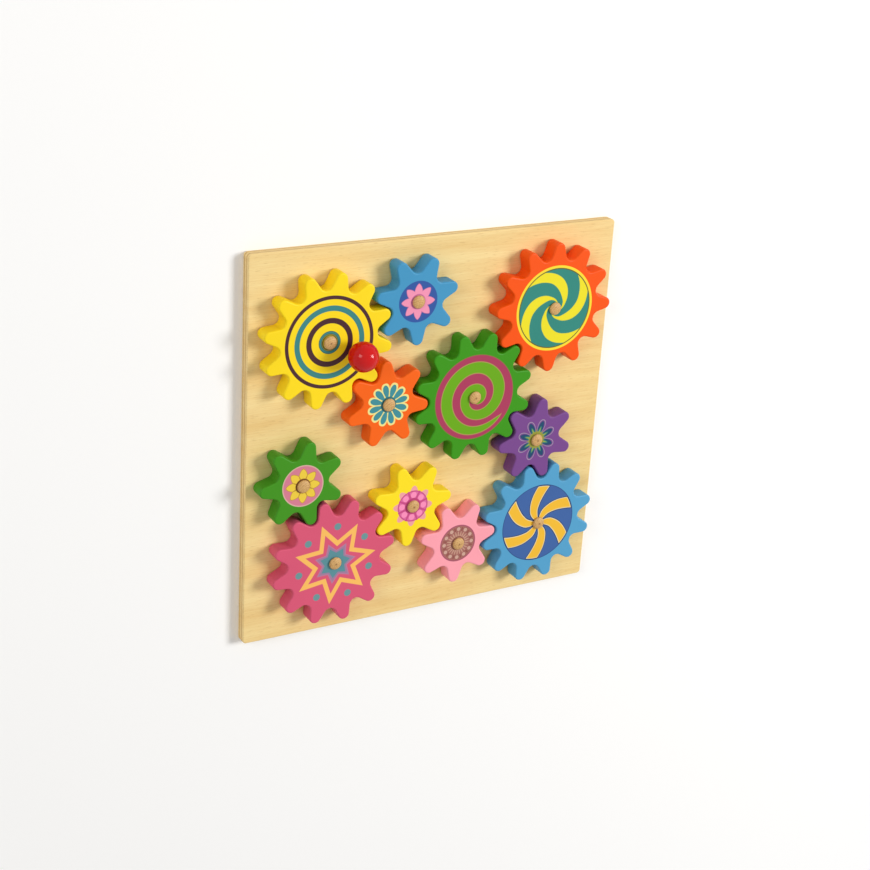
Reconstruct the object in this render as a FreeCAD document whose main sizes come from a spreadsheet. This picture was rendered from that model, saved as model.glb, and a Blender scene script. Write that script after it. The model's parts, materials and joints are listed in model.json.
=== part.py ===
import FreeCAD, Part

"""Crank gear toy: eleven toothed wooden discs on a square board, turned by a ball knob.

Millimetres and degrees. The board lies flat, its underside centred on the origin. +Z runs up
the gear pegs and +Y towards the back edge. Every gear is placed from the gear that drives it:
a heading gives the direction between their centres, the tooth sizes give the distance, and
the tooth counts give the turn that brings the two into mesh.
"""

import math
import os
from dataclasses import dataclass

import Sketcher

# Driving dimensions: alias, value, meaning. Lengths in mm, angles in degrees from +X.
DIMENSIONS = [
    ("board_length", 300.0, "base board along X"),
    ("board_width", 300.0, "base board along Y"),
    ("board_thick", 9.0, "base board, underside to top"),
    ("board_corner", 3.0, "radius of the board's four upright corners"),
    ("board_edge", 1.0, "rounding of the board's top and bottom edges"),
    ("gear_thick", 13.0, "gear, face to face"),
    ("gear_edge", 1.2, "bevel sanded round the upper face of a gear"),
    ("board_gap", 0.5, "running gap between board and gear"),
    ("head_gap", 0.4, "running gap between gear and peg head"),
    ("tooth_module", 7.5, "pitch diameter for each tooth"),
    ("large_teeth", 12, "teeth on a large gear"),
    ("small_teeth", 7, "teeth on a small gear"),
    ("large_addendum", 5.3, "tooth tip of a large gear beyond its pitch circle"),
    ("small_addendum", 7.15, "tooth tip of a small gear beyond its pitch circle"),
    ("tooth_height", 12.4, "tooth tip to valley floor, both sizes"),
    ("tip_round", 4.5, "radius of a tooth's rounded tip"),
    ("root_round", 5.0, "radius of the hollow between two teeth"),
    ("large_tip_gap", 1.8, "tip to valley floor where two large gears mesh"),
    ("mixed_tip_gap", 1.3, "tip to valley floor where a large and a small gear mesh"),
    ("small_tip_gap", 2.6, "tip to valley floor where two small gears mesh"),
    ("peg_radius", 2.9, "shaft of an axle peg"),
    ("turning_gap", 0.08, "radial play of a gear on its peg"),
    ("glue_gap", 0.03, "radial glue line round a glued shaft"),
    ("peg_depth", 7.0, "peg sunk in the board"),
    ("peg_chamfer", 0.5, "chamfer of a peg's lower end"),
    ("head_radius", 4.9, "axle peg head"),
    ("head_rim", 0.8, "height of the head's straight rim"),
    ("head_height", 2.4, "height of the head at its crown"),
    ("crank_throw", 21.5, "crank gear centre to knob"),
    ("crank_angle", -23.0, "direction of the knob from the crank gear's centre"),
    ("knob_radius", 11.0, "ball knob"),
    ("knob_seat_radius", 4.5, "flat turned under the ball"),
    ("knob_stand", 4.0, "gear face to the flat under the ball"),
    ("dowel_radius", 3.0, "dowel that carries the knob"),
    ("dowel_depth", 9.0, "dowel sunk in the crank gear"),
    ("knob_bore_depth", 12.0, "dowel sunk in the knob"),
    ("crank_x", -93.5, "crank gear centre along X"),
    ("crank_y", 85.0, "crank gear centre along Y"),
    ("crank_phase", 19.5, "direction of one tooth of the crank gear"),
    ("blue_small_heading", 18.0, "crank gear to small blue gear"),
    ("orange_small_heading", -47.5, "crank gear to small orange gear"),
    ("green_large_heading", -3.5, "small orange gear to large green gear"),
    ("orange_large_heading", 44.0, "large green gear to large orange gear"),
    ("purple_small_heading", -36.5, "large green gear to small purple gear"),
    ("blue_large_heading", -83.5, "small purple gear to large blue gear"),
    ("pink_small_heading", -176.5, "large blue gear to small pink gear"),
    ("yellow_small_heading", 137.0, "small pink gear to small yellow gear"),
    ("magenta_large_heading", -151.0, "small yellow gear to large magenta gear"),
    ("green_small_heading", 112.5, "large magenta gear to small green gear"),
]

SHEET = "dims"
CRANK = "yellow_crank_gear"


@dataclass(frozen=True)
class Gear:
    """One gear of the train: its part name, its size and the gear that drives it."""

    name: str
    size: str
    driver: str = ""

    @property
    def peg(self):
        return self.name.replace("_gear", "_peg")

    @property
    def heading(self):
        return "{}.{}".format(SHEET, self.name.replace("_gear", "_heading"))


GEARS = [
    Gear(CRANK, "large"),
    Gear("blue_small_gear", "small", CRANK),
    Gear("orange_small_gear", "small", CRANK),
    Gear("green_large_gear", "large", "orange_small_gear"),
    Gear("orange_large_gear", "large", "green_large_gear"),
    Gear("purple_small_gear", "small", "green_large_gear"),
    Gear("blue_large_gear", "large", "purple_small_gear"),
    Gear("pink_small_gear", "small", "blue_large_gear"),
    Gear("yellow_small_gear", "small", "pink_small_gear"),
    Gear("magenta_large_gear", "large", "yellow_small_gear"),
    Gear("green_small_gear", "small", "magenta_large_gear"),
]
GEAR_BY_NAME = {gear.name: gear for gear in GEARS}

doc = FreeCAD.newDocument("crank_gear_toy")


# ---- document helpers ------------------------------------------------------------------

def make_sheet():
    """Write the driving dimensions to a spreadsheet, one alias a row."""
    sheet = doc.addObject("Spreadsheet::Sheet", SHEET)
    for row, (alias, value, meaning) in enumerate(DIMENSIONS, start=1):
        sheet.set("A{}".format(row), alias)
        sheet.set("B{}".format(row), str(value))
        sheet.set("C{}".format(row), meaning)
        sheet.setAlias("B{}".format(row), alias)
    doc.recompute()
    return sheet


def dim(expression):
    """Value of an expression over the sheet's aliases and the gears' own properties."""
    return float(sheet.evalExpression(expression))


def make_body(name):
    """A body whose label names its file."""
    body = doc.addObject("PartDesign::Body", name)
    body.Label = name
    return body


def add_sketch(body, name, role="XY_Plane"):
    """A sketch on one of the body's own origin planes."""
    sketch = body.newObject("Sketcher::SketchObject", name)
    plane = next(f for f in body.Origin.OriginFeatures if f.Role == role)
    sketch.AttachmentSupport = [(plane, "")]
    sketch.MapMode = "FlatFace"
    return sketch


def add_feature(body, kind, name, **settings):
    """Add a PartDesign feature; text settings are expressions, others plain values."""
    feature = body.newObject("PartDesign::" + kind, name)
    for key, value in settings.items():
        if isinstance(value, str) and key != "Type":
            feature.setExpression(key, value)
        else:
            setattr(feature, key, value)
    return feature


def bind_constraint(sketch, name, kind, places, expression):
    """Add a driving constraint and tie its value to the sheet."""
    index = sketch.addConstraint(Sketcher.Constraint(kind, *places, dim(expression)))
    sketch.renameConstraint(index, name)
    sketch.setExpression("Constraints." + name, expression)


def place(body, x, y, z, angle=None):
    """Tie the body's place, and its turn about Z, to expressions."""
    body.setExpression("Placement.Base.x", x)
    body.setExpression("Placement.Base.y", y)
    body.setExpression("Placement.Base.z", z)
    if angle:
        body.setExpression("Placement.Rotation.Angle", angle)


def flat_faces(feature, heights):
    """Names of the feature's level faces at the given heights."""
    names = []
    for index, face in enumerate(feature.Shape.Faces, start=1):
        box = face.BoundBox
        if box.ZLength < 1e-6 and any(abs(box.ZMin - height) < 1e-6 for height in heights):
            names.append("Face{}".format(index))
    return names


def check_removed(before, after, expected, label):
    """Stop if a cut took away another volume than its shape says."""
    removed = before.Shape.Volume - after.Shape.Volume
    if abs(removed - expected) > 0.01 * expected:
        raise RuntimeError("{}: cut {:.1f} mm3, not {:.1f}".format(label, removed, expected))


def polar(centre, radius, degrees):
    """Point at a radius and a direction from a centre."""
    turn = math.radians(degrees)
    return FreeCAD.Vector(
        centre.x + radius * math.cos(turn), centre.y + radius * math.sin(turn), 0.0
    )


def arc(centre, radius, start, end):
    """Arc through the counter-clockwise directions start to end, in degrees."""
    circle = Part.Circle(centre, FreeCAD.Vector(0, 0, 1), radius)
    return Part.ArcOfCircle(circle, math.radians(start), math.radians(end))


# ---- sizes worked out from the driving dimensions --------------------------------------

def tip_radius(size):
    return "({0}.tooth_module * {0}.{1}_teeth / 2 + {0}.{1}_addendum)".format(SHEET, size)


def valley_radius(size):
    return "({} - {}.tooth_height)".format(tip_radius(size), SHEET)


def centre_distance(size, other):
    """Distance between two gears in mesh: a tip reaches to its gap from the valley floor."""
    gap = "mixed_tip_gap" if size != other else size + "_tip_gap"
    return "({} + {} + {}.{})".format(tip_radius(size), valley_radius(other), SHEET, gap)


def gear_bottom():
    return "{0}.board_thick + {0}.board_gap".format(SHEET)


def gear_top():
    return gear_bottom() + " + {}.gear_thick".format(SHEET)


def peg_shaft_length():
    """Peg from its lower end to the underside of its head."""
    return "{0}.peg_depth + {0}.board_gap + {0}.gear_thick + {0}.head_gap".format(SHEET)


# ---- gears -----------------------------------------------------------------------------

def draw_tooth(sketch, size):
    """One tooth as a wedge from the gear's centre, its axis along the sketch's X axis.

    A round tip, two straight flanks and half a round valley on each side, all tangent. The
    wedge spans one pitch, so copies turned about the centre close the gear's outline.
    """
    half_pitch = 180.0 / dim("{}.{}_teeth".format(SHEET, size))
    tip_round = dim(SHEET + ".tip_round")
    root_round = dim(SHEET + ".root_round")
    valley = dim(valley_radius(size))
    origin = FreeCAD.Vector(0, 0, 0)

    tip_centre = polar(origin, dim(tip_radius(size)) - tip_round, 0)
    hollow_up = polar(origin, valley + root_round, half_pitch)
    hollow_down = polar(origin, valley + root_round, -half_pitch)
    between = hollow_up - tip_centre
    lean = math.degrees(math.atan2(between.y, between.x))
    flank = lean - math.degrees(math.acos((tip_round + root_round) / between.Length))

    valley_up = polar(origin, valley, half_pitch)
    valley_down = polar(origin, valley, -half_pitch)
    tip_up = polar(tip_centre, tip_round, flank)
    tip_down = polar(tip_centre, tip_round, -flank)
    flank_up = polar(hollow_up, root_round, flank + 180)
    flank_down = polar(hollow_down, root_round, 180 - flank)

    side_in, hollow_a, flank_a, tip, flank_b, hollow_b, side_out = sketch.addGeometry([
        Part.LineSegment(origin, valley_down),
        arc(hollow_down, root_round, 180 - flank, 180 - half_pitch),
        Part.LineSegment(flank_down, tip_down),
        arc(tip_centre, tip_round, -flank, flank),
        Part.LineSegment(tip_up, flank_up),
        arc(hollow_up, root_round, 180 + half_pitch, 180 + flank),
        Part.LineSegment(valley_up, origin),
    ], False)
    start, end, centre, axes = 1, 2, 3, -1
    sketch.addConstraint([
        Sketcher.Constraint("Coincident", side_in, start, axes, start),
        Sketcher.Constraint("Coincident", side_in, end, hollow_a, end),
        Sketcher.Constraint("Tangent", hollow_a, start, flank_a, start),
        Sketcher.Constraint("Tangent", flank_a, end, tip, start),
        Sketcher.Constraint("Tangent", tip, end, flank_b, start),
        Sketcher.Constraint("Tangent", flank_b, end, hollow_b, end),
        Sketcher.Constraint("Coincident", hollow_b, start, side_out, start),
        Sketcher.Constraint("Coincident", side_out, end, axes, start),
        Sketcher.Constraint("Symmetric", side_in, end, side_out, start, axes),
        Sketcher.Constraint("PointOnObject", tip, centre, axes),
        Sketcher.Constraint("PointOnObject", hollow_a, centre, side_in),
        Sketcher.Constraint("PointOnObject", hollow_b, centre, side_out),
        Sketcher.Constraint("Equal", hollow_a, hollow_b),
    ])
    half_turn = "180 / {}.{}_teeth".format(SHEET, size)
    bind_constraint(sketch, "tip_round", "Radius", (tip,), SHEET + ".tip_round")
    bind_constraint(sketch, "root_round", "Radius", (hollow_a,), SHEET + ".root_round")
    bind_constraint(sketch, "tip_reach", "DistanceX", (axes, start, tip, centre),
                    "{} - {}.tip_round".format(tip_radius(size), SHEET))
    bind_constraint(sketch, "valley_x", "DistanceX", (axes, start, side_in, end),
                    "{} * cos({})".format(valley_radius(size), half_turn))
    bind_constraint(sketch, "valley_y", "DistanceY", (side_in, end, axes, start),
                    "{} * sin({})".format(valley_radius(size), half_turn))


def draw_circle(sketch, radius, name="radius", x=None, y=None):
    """A circle of a bound radius, on the sketch's origin or at a bound place."""
    centre = FreeCAD.Vector(dim(x) if x else 0.0, dim(y) if y else 0.0, 0)
    circle = sketch.addGeometry(
        Part.Circle(centre, FreeCAD.Vector(0, 0, 1), dim(radius)), False
    )
    bind_constraint(sketch, name, "Radius", (circle,), radius)
    if x:
        bind_constraint(sketch, name + "_x", "DistanceX", (-1, 1, circle, 3), x)
        bind_constraint(sketch, name + "_y", "DistanceY", (-1, 1, circle, 3), y)
    else:
        sketch.addConstraint(Sketcher.Constraint("Coincident", circle, 3, -1, 1))


def locate_gear(body, gear):
    """Give the gear its centre and tooth phase, worked out from the gear that drives it."""
    for name in ("CentreX", "CentreY", "Phase"):
        body.addProperty("App::PropertyFloat", name, "Layout")
    if not gear.driver:
        body.setExpression("CentreX", SHEET + ".crank_x")
        body.setExpression("CentreY", SHEET + ".crank_y")
        body.setExpression("Phase", SHEET + ".crank_phase")
    else:
        driver = GEAR_BY_NAME[gear.driver]
        distance = centre_distance(driver.size, gear.size)
        teeth = "{}.{}_teeth".format(SHEET, gear.size)
        driver_teeth = "{}.{}_teeth".format(SHEET, driver.size)
        body.setExpression(
            "CentreX", "{}.CentreX + {} * cos({})".format(driver.name, distance, gear.heading)
        )
        body.setExpression(
            "CentreY", "{}.CentreY + {} * sin({})".format(driver.name, distance, gear.heading)
        )
        # A tooth of one gear meets the middle of a valley of the other on the centre line.
        body.setExpression(
            "Phase",
            "mod({h} + 180 - 180 / {t} + ({h} - {d}.Phase) * {dt} / {t}; 360 / {t})".format(
                h=gear.heading, d=driver.name, t=teeth, dt=driver_teeth
            ),
        )
    place(body, gear.name + ".CentreX", gear.name + ".CentreY", gear_bottom(),
          gear.name + ".Phase")


def make_gear(gear):
    """A toothed disc with a bevelled upper face and a bore for its peg."""
    body = make_body(gear.name)
    locate_gear(body, gear)
    tooth = add_sketch(body, gear.name + "_tooth_outline")
    draw_tooth(tooth, gear.size)
    pad = add_feature(body, "Pad", gear.name + "_tooth",
                      Profile=tooth, Length=SHEET + ".gear_thick")
    ring = add_feature(body, "PolarPattern", gear.name + "_teeth", Originals=[pad],
                       Axis=(tooth, ["N_Axis"]), Angle=360.0, Refine=True,
                       Occurrences="{}.{}_teeth".format(SHEET, gear.size))
    body.Tip = ring
    doc.recompute()

    upper = flat_faces(ring, (dim(SHEET + ".gear_thick"),))
    edge = add_feature(body, "Chamfer", gear.name + "_edge",
                       Base=(ring, upper), Size=SHEET + ".gear_edge")
    doc.recompute()

    bore = add_sketch(body, gear.name + "_bore_outline")
    bore_radius = "{0}.peg_radius + {0}.turning_gap".format(SHEET)
    draw_circle(bore, bore_radius)
    hole = add_feature(body, "Pocket", gear.name + "_bore",
                       Profile=bore, Type="ThroughAll", Reversed=True)
    doc.recompute()
    check_removed(edge, hole, math.pi * dim(bore_radius) ** 2 * dim(SHEET + ".gear_thick"),
                  gear.name + " bore")
    return body


def drill_crank_gear(body):
    """A blind hole in the crank gear's upper face for the knob's dowel."""
    before = body.Tip
    outline = add_sketch(body, "dowel_hole_outline")
    outline.setExpression("AttachmentOffset.Base.z", SHEET + ".gear_thick")
    turned = "({0}.crank_angle - {0}.crank_phase)".format(SHEET)
    radius = "{0}.dowel_radius + {0}.glue_gap".format(SHEET)
    draw_circle(outline, radius, "dowel",
                "{}.crank_throw * cos({})".format(SHEET, turned),
                "{}.crank_throw * sin({})".format(SHEET, turned))
    hole = add_feature(body, "Pocket", "dowel_hole",
                       Profile=outline, Type="Length", Length=SHEET + ".dowel_depth")
    doc.recompute()
    check_removed(before, hole, math.pi * dim(radius) ** 2 * dim(SHEET + ".dowel_depth"),
                  "dowel hole")


# ---- turned pieces ---------------------------------------------------------------------

def revolve(body, sketch, name):
    """Turn a half section round the sketch's upright axis."""
    return add_feature(body, "Revolution", name, Profile=sketch,
                       ReferenceAxis=(sketch, ["V_Axis"]), Angle=360.0)


def draw_peg(sketch):
    """Half section of an axle peg: chamfered shaft and a domed head with a straight rim."""
    shaft = dim(SHEET + ".peg_radius")
    chamfer = dim(SHEET + ".peg_chamfer")
    length = dim(peg_shaft_length())
    head = dim(SHEET + ".head_radius")
    rim = length + dim(SHEET + ".head_rim")
    crown = length + dim(SHEET + ".head_height")
    rise = crown - rim
    dome_radius = (head ** 2 + rise ** 2) / (2 * rise)
    dome_centre = FreeCAD.Vector(0, crown - dome_radius, 0)
    dome_start = math.degrees(math.asin((dome_radius - rise) / dome_radius))

    points = [(0, 0), (shaft - chamfer, 0), (shaft, chamfer), (shaft, length),
              (head, length), (head, rim)]
    corners = [FreeCAD.Vector(x, y, 0) for x, y in points]
    lines = sketch.addGeometry(
        [Part.LineSegment(a, b) for a, b in zip(corners, corners[1:])], False
    )
    foot, bevel, side, shoulder, edge = lines
    dome = sketch.addGeometry(arc(dome_centre, dome_radius, dome_start, 90), False)
    axis = sketch.addGeometry(
        Part.LineSegment(FreeCAD.Vector(0, crown, 0), FreeCAD.Vector(0, 0, 0)), False
    )
    for before, after in zip(lines, lines[1:] + (dome, axis)):
        sketch.addConstraint(Sketcher.Constraint("Coincident", before, 2, after, 1))
    sketch.addConstraint([
        Sketcher.Constraint("Coincident", dome, 2, axis, 1),
        Sketcher.Constraint("Coincident", axis, 2, -1, 1),
        Sketcher.Constraint("Coincident", foot, 1, -1, 1),
        Sketcher.Constraint("Horizontal", foot),
        Sketcher.Constraint("Vertical", side),
        Sketcher.Constraint("Horizontal", shoulder),
        Sketcher.Constraint("Vertical", edge),
        Sketcher.Constraint("Vertical", axis),
        Sketcher.Constraint("PointOnObject", dome, 3, -2),
    ])
    bind_constraint(sketch, "shaft", "DistanceX", (-1, 1, side, 1), SHEET + ".peg_radius")
    bind_constraint(sketch, "chamfer_x", "DistanceX", (bevel, 1, bevel, 2),
                    SHEET + ".peg_chamfer")
    bind_constraint(sketch, "chamfer_y", "DistanceY", (bevel, 1, bevel, 2),
                    SHEET + ".peg_chamfer")
    bind_constraint(sketch, "length", "DistanceY", (-1, 1, side, 2), peg_shaft_length())
    bind_constraint(sketch, "head", "DistanceX", (-1, 1, edge, 1), SHEET + ".head_radius")
    bind_constraint(sketch, "rim", "DistanceY", (edge, 1, edge, 2), SHEET + ".head_rim")
    bind_constraint(sketch, "crown", "DistanceY", (edge, 1, dome, 2), SHEET + ".head_height")


def make_peg(gear):
    """The axle peg that a gear turns on, glued in the board."""
    body = make_body(gear.peg)
    place(body, gear.name + ".CentreX", gear.name + ".CentreY",
          "{0}.board_thick - {0}.peg_depth".format(SHEET))
    section = add_sketch(body, gear.peg + "_section", "XZ_Plane")
    draw_peg(section)
    revolve(body, section, gear.peg + "_turned")
    doc.recompute()
    return body


def draw_knob(sketch):
    """Half section of the ball knob: a flat seat underneath and a blind bore for its dowel."""
    ball = dim(SHEET + ".knob_radius")
    seat = dim(SHEET + ".knob_seat_radius")
    bore = dim(SHEET + ".dowel_radius") + dim(SHEET + ".glue_gap")
    depth = dim(SHEET + ".knob_bore_depth")
    centre_height = math.sqrt(ball ** 2 - seat ** 2)
    centre = FreeCAD.Vector(0, centre_height, 0)
    seat_angle = -math.degrees(math.acos(seat / ball))

    corners = [FreeCAD.Vector(x, y, 0) for x, y in
               [(0, centre_height + ball), (0, depth), (bore, depth), (bore, 0), (seat, 0)]]
    lines = sketch.addGeometry(
        [Part.LineSegment(a, b) for a, b in zip(corners, corners[1:])], False
    )
    axis, bore_end, bore_wall, flat = lines
    skin = sketch.addGeometry(arc(centre, ball, seat_angle, 90), False)
    for before, after in zip(lines, lines[1:] + (skin,)):
        sketch.addConstraint(Sketcher.Constraint("Coincident", before, 2, after, 1))
    sketch.addConstraint([
        Sketcher.Constraint("Coincident", skin, 2, axis, 1),
        Sketcher.Constraint("PointOnObject", axis, 1, -2),
        Sketcher.Constraint("PointOnObject", skin, 3, -2),
        Sketcher.Constraint("Vertical", axis),
        Sketcher.Constraint("Horizontal", bore_end),
        Sketcher.Constraint("Vertical", bore_wall),
        Sketcher.Constraint("Horizontal", flat),
        Sketcher.Constraint("PointOnObject", flat, 1, -1),
    ])
    bind_constraint(sketch, "ball", "Radius", (skin,), SHEET + ".knob_radius")
    bind_constraint(sketch, "seat", "DistanceX", (-1, 1, flat, 2), SHEET + ".knob_seat_radius")
    bind_constraint(sketch, "bore", "DistanceX", (-1, 1, bore_wall, 2),
                    "{0}.dowel_radius + {0}.glue_gap".format(SHEET))
    bind_constraint(sketch, "depth", "DistanceY", (bore_wall, 2, bore_wall, 1),
                    SHEET + ".knob_bore_depth")


def place_on_crank(body, height):
    """Put a piece of the crank over the dowel hole, at a height above the board's underside."""
    throw = "{0}.crank_throw * {1}({0}.crank_angle)"
    place(body,
          "{}.CentreX + ".format(CRANK) + throw.format(SHEET, "cos"),
          "{}.CentreY + ".format(CRANK) + throw.format(SHEET, "sin"),
          height)


def make_knob():
    """The lacquered ball that a child turns the crank gear by."""
    body = make_body("crank_knob")
    place_on_crank(body, "{} + {}.knob_stand".format(gear_top(), SHEET))
    section = add_sketch(body, "crank_knob_section", "XZ_Plane")
    draw_knob(section)
    revolve(body, section, "crank_knob_turned")
    doc.recompute()
    return body


def make_dowel():
    """The dowel glued in the crank gear below and in the knob above."""
    body = make_body("knob_dowel")
    place_on_crank(body, "{} - {}.dowel_depth".format(gear_top(), SHEET))
    outline = add_sketch(body, "knob_dowel_outline")
    draw_circle(outline, SHEET + ".dowel_radius")
    add_feature(body, "Pad", "knob_dowel_length", Profile=outline,
                Length="{0}.dowel_depth + {0}.knob_stand + {0}.knob_bore_depth".format(SHEET))
    doc.recompute()
    return body


# ---- board -----------------------------------------------------------------------------

def draw_board(sketch):
    """The board's rectangle, centred on the sketch's origin."""
    half_x = dim(SHEET + ".board_length") / 2
    half_y = dim(SHEET + ".board_width") / 2
    corners = [FreeCAD.Vector(x * half_x, y * half_y, 0)
               for x, y in ((-1, -1), (1, -1), (1, 1), (-1, 1), (-1, -1))]
    front, right, back, left = sketch.addGeometry(
        [Part.LineSegment(a, b) for a, b in zip(corners, corners[1:])], False
    )
    for before, after in ((front, right), (right, back), (back, left), (left, front)):
        sketch.addConstraint(Sketcher.Constraint("Coincident", before, 2, after, 1))
    sketch.addConstraint([
        Sketcher.Constraint("Horizontal", front),
        Sketcher.Constraint("Horizontal", back),
        Sketcher.Constraint("Vertical", right),
        Sketcher.Constraint("Vertical", left),
        Sketcher.Constraint("Symmetric", front, 1, right, 2, -1, 1),
    ])
    bind_constraint(sketch, "length", "DistanceX", (front, 1, front, 2),
                    SHEET + ".board_length")
    bind_constraint(sketch, "width", "DistanceY", (right, 1, right, 2), SHEET + ".board_width")


def make_board():
    """The square base board with a blind hole under each gear."""
    body = make_body("base_board")
    outline = add_sketch(body, "board_outline")
    draw_board(outline)
    slab = add_feature(body, "Pad", "board_slab",
                       Profile=outline, Length=SHEET + ".board_thick")
    doc.recompute()

    upright = ["Edge{}".format(index) for index, edge in enumerate(slab.Shape.Edges, start=1)
               if edge.BoundBox.ZLength > 1e-6]
    corners = add_feature(body, "Fillet", "board_corners",
                          Base=(slab, upright), Radius=SHEET + ".board_corner")
    doc.recompute()
    faces = flat_faces(corners, (0.0, dim(SHEET + ".board_thick")))
    rounded = add_feature(body, "Fillet", "board_edges",
                          Base=(corners, faces), Radius=SHEET + ".board_edge")
    doc.recompute()

    outline = add_sketch(body, "peg_holes_outline")
    outline.setExpression("AttachmentOffset.Base.z", SHEET + ".board_thick")
    radius = "{0}.peg_radius + {0}.glue_gap".format(SHEET)
    for gear in GEARS:
        draw_circle(outline, radius, gear.peg, gear.name + ".CentreX", gear.name + ".CentreY")
    holes = add_feature(body, "Pocket", "peg_holes",
                        Profile=outline, Type="Length", Length=SHEET + ".peg_depth")
    doc.recompute()
    one_hole = math.pi * dim(radius) ** 2 * dim(SHEET + ".peg_depth")
    check_removed(rounded, holes, len(GEARS) * one_hole, "peg holes")
    return body


# ---- build and export ------------------------------------------------------------------

def check_document():
    """Stop if a feature failed to build."""
    for item in doc.Objects:
        if "Invalid" in item.State or "Error" in item.State:
            raise RuntimeError("{} is {}".format(item.Name, item.State))


def check_shape(body):
    """Stop unless the body is one sound solid."""
    shape = body.Shape
    if shape.isNull() or not shape.isValid() or len(shape.Solids) != 1:
        raise RuntimeError("{} has no sound solid".format(body.Label))


sheet = make_sheet()
pieces = [make_gear(gear) for gear in GEARS]
drill_crank_gear(doc.getObject(CRANK))
pieces += [make_peg(gear) for gear in GEARS]
pieces += [make_knob(), make_dowel(), make_board()]
doc.recompute()

check_document()
os.makedirs("parts", exist_ok=True)
for piece in pieces:
    check_shape(piece)
for piece in pieces:
    piece.Shape.exportStep("parts/{}.step".format(piece.Label))
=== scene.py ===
"""Looks of a wooden crank gear toy: a birch board, eleven painted gears on pegs and a ball crank.

Sizes are millimetres in every field and constant, and become metres where a mesh or node is made.
Headings are degrees counter-clockwise from +X, as the toy lies at rest.
"""

import json
import logging
import math
from dataclasses import dataclass, field
from enum import Enum
from typing import Any

import bmesh
import bpy
from mathutils import Matrix, Vector


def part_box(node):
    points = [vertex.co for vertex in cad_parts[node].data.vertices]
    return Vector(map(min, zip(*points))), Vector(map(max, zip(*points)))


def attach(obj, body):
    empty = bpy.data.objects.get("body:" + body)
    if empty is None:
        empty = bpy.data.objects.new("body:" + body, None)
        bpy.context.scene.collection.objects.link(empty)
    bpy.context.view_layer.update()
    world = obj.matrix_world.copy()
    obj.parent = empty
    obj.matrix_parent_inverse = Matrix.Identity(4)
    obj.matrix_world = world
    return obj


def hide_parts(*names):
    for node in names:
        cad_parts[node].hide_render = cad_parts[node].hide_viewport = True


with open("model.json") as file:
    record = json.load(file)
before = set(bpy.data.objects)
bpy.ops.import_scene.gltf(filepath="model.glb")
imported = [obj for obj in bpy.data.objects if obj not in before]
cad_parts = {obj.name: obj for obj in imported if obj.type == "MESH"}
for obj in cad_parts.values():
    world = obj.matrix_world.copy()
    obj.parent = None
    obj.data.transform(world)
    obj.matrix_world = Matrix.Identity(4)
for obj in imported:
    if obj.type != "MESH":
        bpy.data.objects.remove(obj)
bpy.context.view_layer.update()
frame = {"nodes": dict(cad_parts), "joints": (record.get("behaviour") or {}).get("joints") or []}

MM = 0.001
MATH = "ShaderNodeMath"
VECTOR_MATH = "ShaderNodeVectorMath"
ROTATE = "ShaderNodeVectorRotate"
MAP_RANGE = "ShaderNodeMapRange"
MIX = "ShaderNodeMix"
NOISE = "ShaderNodeTexNoise"
WHITE = (1.0, 1.0, 1.0, 1.0)
# A whole count is compared half a step off, so that rounding can't tip it.
HALF_STEP = 0.5
Pair = tuple[float, float]
Triple = tuple[float, float, float]
log = logging.getLogger("crank_gear_toy")


# ---------------------------------------------------------------- shared helpers


def linear(colour: str) -> tuple[float, float, float, float]:
    """Turns an sRGB hex colour to linear light.

    Args:
        colour: the colour as #RRGGBB.

    Returns:
        Red, green, blue and an alpha of 1.
    """
    shares = [int(colour[i : i + 2], 16) / 255 for i in (1, 3, 5)]
    return (*[c / 12.92 if c <= 0.04045 else ((c + 0.055) / 1.055) ** 2.4 for c in shares], 1.0)


def put(
    tree: bpy.types.NodeTree, kind: str, *values: Any, named: dict | None = None, **settings: Any
) -> bpy.types.Node:
    """Adds a node to a tree with its settings and links.

    Args:
        tree: the material's or the geometry's node tree.
        kind: Blender's name of the node type.
        values: one for each enabled input in order. None leaves an input alone, a node or a
            socket is linked to it, and anything else becomes its value.
        named: more inputs, by name.
        settings: the node's own properties.

    Returns:
        The new node.
    """
    node = tree.nodes.new(kind)
    for setting, value in settings.items():
        setattr(node, setting, value)
    sockets = [s for s in node.inputs if s.enabled]
    pairs = list(zip(sockets, values)) + [(node.inputs[k], v) for k, v in (named or {}).items()]
    for socket, value in pairs:
        if isinstance(value, bpy.types.Node):
            value = next(s for s in value.outputs if s.enabled)
        if isinstance(value, bpy.types.NodeSocket):
            tree.links.new(value, socket)
        elif value is not None:
            socket.default_value = value
    return node


def blank_material(name: str) -> tuple[bpy.types.Material, bpy.types.NodeTree]:
    """Makes a material with an empty node tree.

    Args:
        name: what the real material is called.

    Returns:
        The material and its tree.
    """
    material = bpy.data.materials.new(name)
    material.use_nodes = True
    material.node_tree.nodes.clear()
    return material, material.node_tree


def new_piece(name: str, mesh: bpy.types.Mesh) -> bpy.types.Object:
    """Links a mesh to the scene as an object at the origin.

    Args:
        name: the piece's name.
        mesh: its mesh, already in place.

    Returns:
        The new object.
    """
    piece = bpy.data.objects.new(name, mesh)
    bpy.context.scene.collection.objects.link(piece)
    return piece


def dress(node: bpy.types.Object, material: bpy.types.Material) -> None:
    """Gives a CAD node one material in place of its own."""
    node.data.materials.clear()
    node.data.materials.append(material)


def node_tree(name: str, inputs: dict[str, str]) -> tuple[bpy.types.NodeTree, Any]:
    """Makes a geometry node tree with named inputs and one geometry output.

    Args:
        name: the tree's name.
        inputs: the kind of each input's socket, by the input's name.

    Returns:
        The tree, and its inputs to link from.
    """
    tree = bpy.data.node_groups.new(name, "GeometryNodeTree")
    for label, kind in inputs.items():
        tree.interface.new_socket(label, in_out="INPUT", socket_type=f"NodeSocket{kind}")
    tree.interface.new_socket("Geometry", in_out="OUTPUT", socket_type="NodeSocketGeometry")
    return tree, put(tree, "NodeGroupInput").outputs


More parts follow.
